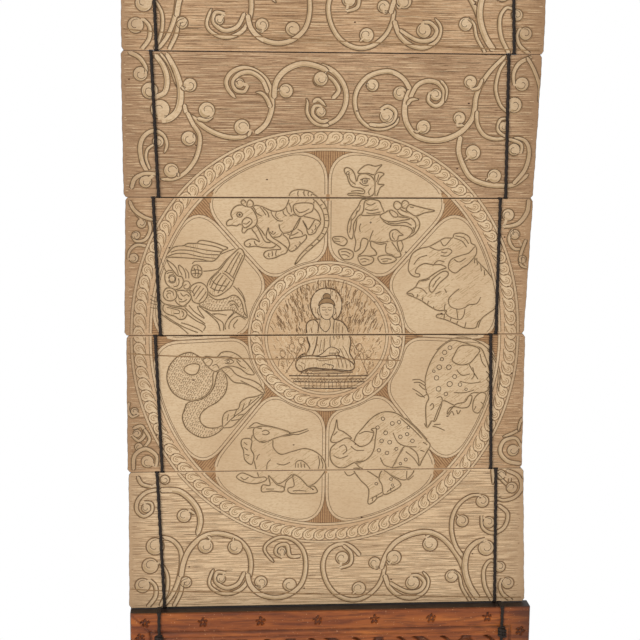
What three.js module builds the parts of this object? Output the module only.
import * as THREE from "three";

// Folding manuscript hanging open: two carved teak covers and eight palm leaves, threaded by two cords.
// Millimetres, +Z up. The painted and carved faces look toward -Y.
// The origin is the centre of the top cover's flat back, which lies against whatever holds the manuscript up.

// Leaves
const leafThickness = 1.2;
const leafCorner = 1.3;
const jointGap = 0.6;

// Covers
const coverWidth = 172;
const coverHeight = 58.2;
const coverThickness = 9;
const coverCorner = 1.0;
const halfWidth = coverWidth / 2;
const topCoverShift = 0;
const bottomCoverShift = 1.8;

// Leaves, from the top. Each is cut by hand: its height is a share of the covers' height, and the
// places of its left and right corners at the upper and lower edge are shares of half their width
const leafCuts = [
  { height: 1.012, upper: [-0.988, 0.991], lower: [-0.992, 0.988] },
  { height: 0.988, upper: [-0.989, 0.997], lower: [-0.988, 0.992] },
  { height: 0.992, upper: [-0.985, 0.987], lower: [-0.988, 1.001] },
  { height: 0.995, upper: [-0.985, 1.012], lower: [-0.988, 1.008] },
  { height: 1.0, upper: [-0.991, 1.002], lower: [-0.987, 0.979] },
  { height: 0.974, upper: [-0.979, 0.981], lower: [-0.992, 0.957] },
  { height: 0.995, upper: [-0.983, 0.964], lower: [-0.986, 0.969] },
  { height: 1.022, upper: [-0.981, 0.978], lower: [-0.987, 1.005] },
];

// Cords: the strand lies flat on a board and is squashed thinner where it passes between two boards
const cordWidth = 1.9;
const cordHeight = 1.1;
const cordEdgeHeight = 0.42;
const cordRound = 0.35;
const cordEdgeRound = 0.15;
const seatOnFace = 0.15;
const seatOnEdge = 0.08;
const strandGap = 0.3;
const pairOffset = (cordWidth + strandGap) / 2;
const foldClearance = 0.15;

// Channels in the covers' backs, in which the cords lie below the flat face
const channelSide = 0.3;
const channelDepth = seatOnFace + cordHeight + seatOnFace;

// Knots on the bottom cover
const knotDrop = 10.6;
const knotWidth = 4.2;
const knotLength = 3.6;
const longKnotLength = 5.4;
const knotHeight = 3.0;
const knotGap = 0.3;

// The cord's side of its pair at the upper and lower edge of each board, from the top cover down:
// -1 is the left strand of the pair, +1 the right one
const leftTwine = [
  [1, 1], [-1, 1], [-1, 1], [-1, 1], [-1, 1], [-1, 1], [-1, 1], [-1, 1], [-1, 1], [-1, -1],
];
const rightTwine = [
  [1, 1], [-1, 1], [-1, 1], [-1, 1], [-1, 1], [-1, 1], [-1, 1], [-1, -1], [1, -1], [1, 1],
];
// The middle of the pair at each edge, as a share of half the covers' width: the top cover's upper
// edge, the nine joints and the bottom cover's lower edge
const leftMiddles = [-0.833, -0.833, -0.835, -0.831, -0.834, -0.837, -0.834, -0.831, -0.829, -0.824, -0.824];
const rightMiddles = [0.842, 0.842, 0.835, 0.84, 0.848, 0.851, 0.831, 0.803, 0.824, 0.863, 0.863];
const cordSides = [
  { name: "left", middles: leftMiddles, twine: leftTwine, knotLength: knotLength },
  { name: "right", middles: rightMiddles, twine: rightTwine, knotLength: longKnotLength },
];

const teak = new THREE.MeshStandardMaterial({ color: 0x7d4128, roughness: 0.62, metalness: 0 });
const palmLeaf = new THREE.MeshStandardMaterial({ color: 0xd2b285, roughness: 0.7, metalness: 0 });
const cordFibre = new THREE.MeshStandardMaterial({ color: 0x1d1815, roughness: 0.8, metalness: 0 });

// Depths: the cords on the leaves' backs stay just in front of the covers' flat backs
const leafBack = -(seatOnFace + cordHeight + foldClearance);
const leafFront = leafBack - leafThickness;
const coverFront = -coverThickness;

const manuscript = new THREE.Group();

function addPiece(name, geometry, material) {
  const mesh = new THREE.Mesh(geometry, material);
  mesh.name = name;
  manuscript.add(mesh);
  return mesh;
}

// How far right a board's cord lies at the board's upper (0) or lower (1) edge
function cordPlace(side, board, edge) {
  return side.middles[board + edge] * halfWidth + side.twine[board][edge] * pairOffset;
}

// A rectangle with round corners as a shape, or as the path of a hole
function roundedRectangle(path, left, right, low, high, radius) {
  path.moveTo(left + radius, low);
  path.lineTo(right - radius, low);
  path.quadraticCurveTo(right, low, right, low + radius);
  path.lineTo(right, high - radius);
  path.quadraticCurveTo(right, high, right - radius, high);
  path.lineTo(left + radius, high);
  path.quadraticCurveTo(left, high, left, high - radius);
  path.lineTo(left, low + radius);
  path.quadraticCurveTo(left, low, left + radius, low);
  return path;
}

// The leaf's outline, a little wider or narrower at one edge than at the other
function leafOutline(cut, top) {
  const low = top - cut.height * coverHeight;
  const [upperLeft, upperRight] = cut.upper.map((share) => share * halfWidth);
  const [lowerLeft, lowerRight] = cut.lower.map((share) => share * halfWidth);
  const outline = new THREE.Shape();
  outline.moveTo(lowerLeft + leafCorner, low);
  outline.lineTo(lowerRight - leafCorner, low);
  outline.quadraticCurveTo(lowerRight, low, lowerRight, low + leafCorner);
  outline.lineTo(upperRight, top - leafCorner);
  outline.quadraticCurveTo(upperRight, top, upperRight - leafCorner, top);
  outline.lineTo(upperLeft + leafCorner, top);
  outline.quadraticCurveTo(upperLeft, top, upperLeft, top - leafCorner);
  outline.lineTo(lowerLeft, low + leafCorner);
  outline.quadraticCurveTo(lowerLeft, low, lowerLeft + leafCorner, low);
  return outline;
}

// A leaf is a flat plate: its outline is drawn as seen from the front and given the leaf's thickness
function leafGeometry(cut, top) {
  const outline = leafOutline(cut, top);
  const plate = new THREE.ExtrudeGeometry(outline, {
    depth: leafThickness,
    bevelEnabled: false,
    curveSegments: 4,
  });
  plate.rotateX(Math.PI / 2);
  plate.translate(0, leafBack, 0);
  return plate;
}

// A cover is its plan section, with the two cord channels in the back, drawn up to the cover's height
function coverGeometry(top, shift, channelMiddles) {
  const left = shift - halfWidth;
  const right = shift + halfWidth;
  const channelHalf = cordWidth / 2 + channelSide;
  const section = new THREE.Shape();
  section.moveTo(left, 0);
  section.lineTo(left, coverFront + coverCorner);
  section.quadraticCurveTo(left, coverFront, left + coverCorner, coverFront);
  section.lineTo(right - coverCorner, coverFront);
  section.quadraticCurveTo(right, coverFront, right, coverFront + coverCorner);
  section.lineTo(right, 0);
  for (const middle of [...channelMiddles].reverse()) {
    section.lineTo(middle + channelHalf, 0);
    section.lineTo(middle + channelHalf, -channelDepth);
    section.lineTo(middle - channelHalf, -channelDepth);
    section.lineTo(middle - channelHalf, 0);
  }
  section.closePath();
  const board = new THREE.ExtrudeGeometry(section, {
    depth: coverHeight,
    bevelEnabled: false,
    curveSegments: 3,
  });
  board.translate(0, 0, top - coverHeight);
  return board;
}

// A band of cord is its side view, (depth, height), drawn across the cord's width, and slanted
// so that it passes from one side of its pair at the upper edge to the other at the lower edge
function bandGeometry(shape, side, board, top, low) {
  const band = new THREE.ExtrudeGeometry(shape, {
    depth: cordWidth - 2 * cordRound,
    bevelEnabled: true,
    bevelThickness: cordRound,
    bevelSize: cordEdgeRound,
    bevelOffset: -cordEdgeRound,
    bevelSegments: 1,
    curveSegments: 2,
  });
  band.translate(0, 0, cordRound - cordWidth / 2);
  const sideways = new THREE.Matrix4().makeBasis(
    new THREE.Vector3(0, 1, 0),
    new THREE.Vector3(0, 0, 1),
    new THREE.Vector3(1, 0, 0),
  );
  band.applyMatrix4(sideways);
  const upper = cordPlace(side, board, 0);
  const lower = cordPlace(side, board, 1);
  const places = band.getAttribute("position");
  for (let i = 0; i < places.count; i++) {
    const along = THREE.MathUtils.clamp((top - places.getZ(i)) / (top - low), 0, 1);
    places.setX(i, places.getX(i) + THREE.MathUtils.lerp(upper, lower, along));
  }
  return band;
}

// A closed loop of cord round a board between the depths front and back
function loopShape(front, back, top, low) {
  const outer = roundedRectangle(
    new THREE.Shape(),
    front - cordHeight,
    back + cordHeight,
    low - cordEdgeHeight,
    top + cordEdgeHeight,
    cordEdgeHeight,
  );
  outer.holes.push(roundedRectangle(new THREE.Path(), front, back, low, top, cordRound));
  return outer;
}

// The same loop, open where the knot holds its two ends on the front
function knottedLoopShape(front, back, top, low, knotTop, knotLow) {
  const shape = new THREE.Shape();
  const outerFront = front - cordHeight;
  const outerBack = back + cordHeight;
  const outerTop = top + cordEdgeHeight;
  const outerLow = low - cordEdgeHeight;
  shape.moveTo(front, knotTop);
  shape.lineTo(front, top);
  shape.lineTo(back, top);
  shape.lineTo(back, low);
  shape.lineTo(front, low);
  shape.lineTo(front, knotLow);
  shape.lineTo(outerFront, knotLow);
  shape.lineTo(outerFront, outerLow + cordEdgeHeight);
  shape.quadraticCurveTo(outerFront, outerLow, outerFront + cordEdgeHeight, outerLow);
  shape.lineTo(outerBack - cordEdgeHeight, outerLow);
  shape.quadraticCurveTo(outerBack, outerLow, outerBack, outerLow + cordEdgeHeight);
  shape.lineTo(outerBack, outerTop - cordEdgeHeight);
  shape.quadraticCurveTo(outerBack, outerTop, outerBack - cordEdgeHeight, outerTop);
  shape.lineTo(outerFront + cordEdgeHeight, outerTop);
  shape.quadraticCurveTo(outerFront, outerTop, outerFront, outerTop - cordEdgeHeight);
  shape.lineTo(outerFront, knotTop);
  shape.closePath();
  return shape;
}

// The cord's depths on a cover: proud of the carved face, and inside the channel at the back
const coverCordFront = coverFront - seatOnFace;
const coverCordBack = seatOnFace - channelDepth;

function addCover(name, top, board, shift) {
  const low = top - coverHeight;
  const middles = cordSides.map((side) => cordPlace(side, board, 0));
  addPiece(name, coverGeometry(top, shift, middles), teak);
  return low;
}

function addTopCover(top) {
  const low = addCover("top_cover", top, 0, topCoverShift);
  for (const side of cordSides) {
    const loop = loopShape(coverCordFront, coverCordBack, top + seatOnEdge, low - seatOnEdge);
    addPiece(side.name + "_cord_top_cover", bandGeometry(loop, side, 0, top, low), cordFibre);
  }
  return low;
}

function addLeaf(index, top) {
  const cut = leafCuts[index];
  const low = top - cut.height * coverHeight;
  const number = index + 1;
  addPiece("leaf_" + number, leafGeometry(cut, top), palmLeaf);
  for (const side of cordSides) {
    const loop = loopShape(
      leafFront - seatOnFace,
      leafBack + seatOnFace,
      top + seatOnEdge,
      low - seatOnEdge,
    );
    const band = bandGeometry(loop, side, number, top, low);
    addPiece(side.name + "_cord_leaf_" + number, band, cordFibre);
  }
  return low;
}

function addBottomCover(top) {
  const board = leafCuts.length + 1;
  const low = addCover("bottom_cover", top, board, bottomCoverShift);
  for (const side of cordSides) {
    const knotMiddle = top - knotDrop;
    const knotReach = side.knotLength / 2 + knotGap;
    const loop = knottedLoopShape(
      coverCordFront,
      coverCordBack,
      top + seatOnEdge,
      low - seatOnEdge,
      knotMiddle + knotReach,
      knotMiddle - knotReach,
    );
    const band = bandGeometry(loop, side, board, top, low);
    addPiece(side.name + "_cord_bottom_cover", band, cordFibre);
    const knot = new THREE.SphereGeometry(0.5, 12, 8);
    knot.scale(knotWidth, knotHeight, side.knotLength);
    const knotX = cordPlace(side, board, 0);
    knot.translate(knotX, coverFront - seatOnFace - knotHeight / 2, knotMiddle);
    addPiece(side.name + "_knot", knot, cordFibre);
  }
  return low;
}

let edge = addTopCover(coverHeight / 2);
for (let index = 0; index < leafCuts.length; index++) {
  edge = addLeaf(index, edge - jointGap);
}
addBottomCover(edge - jointGap);

export default manuscript;
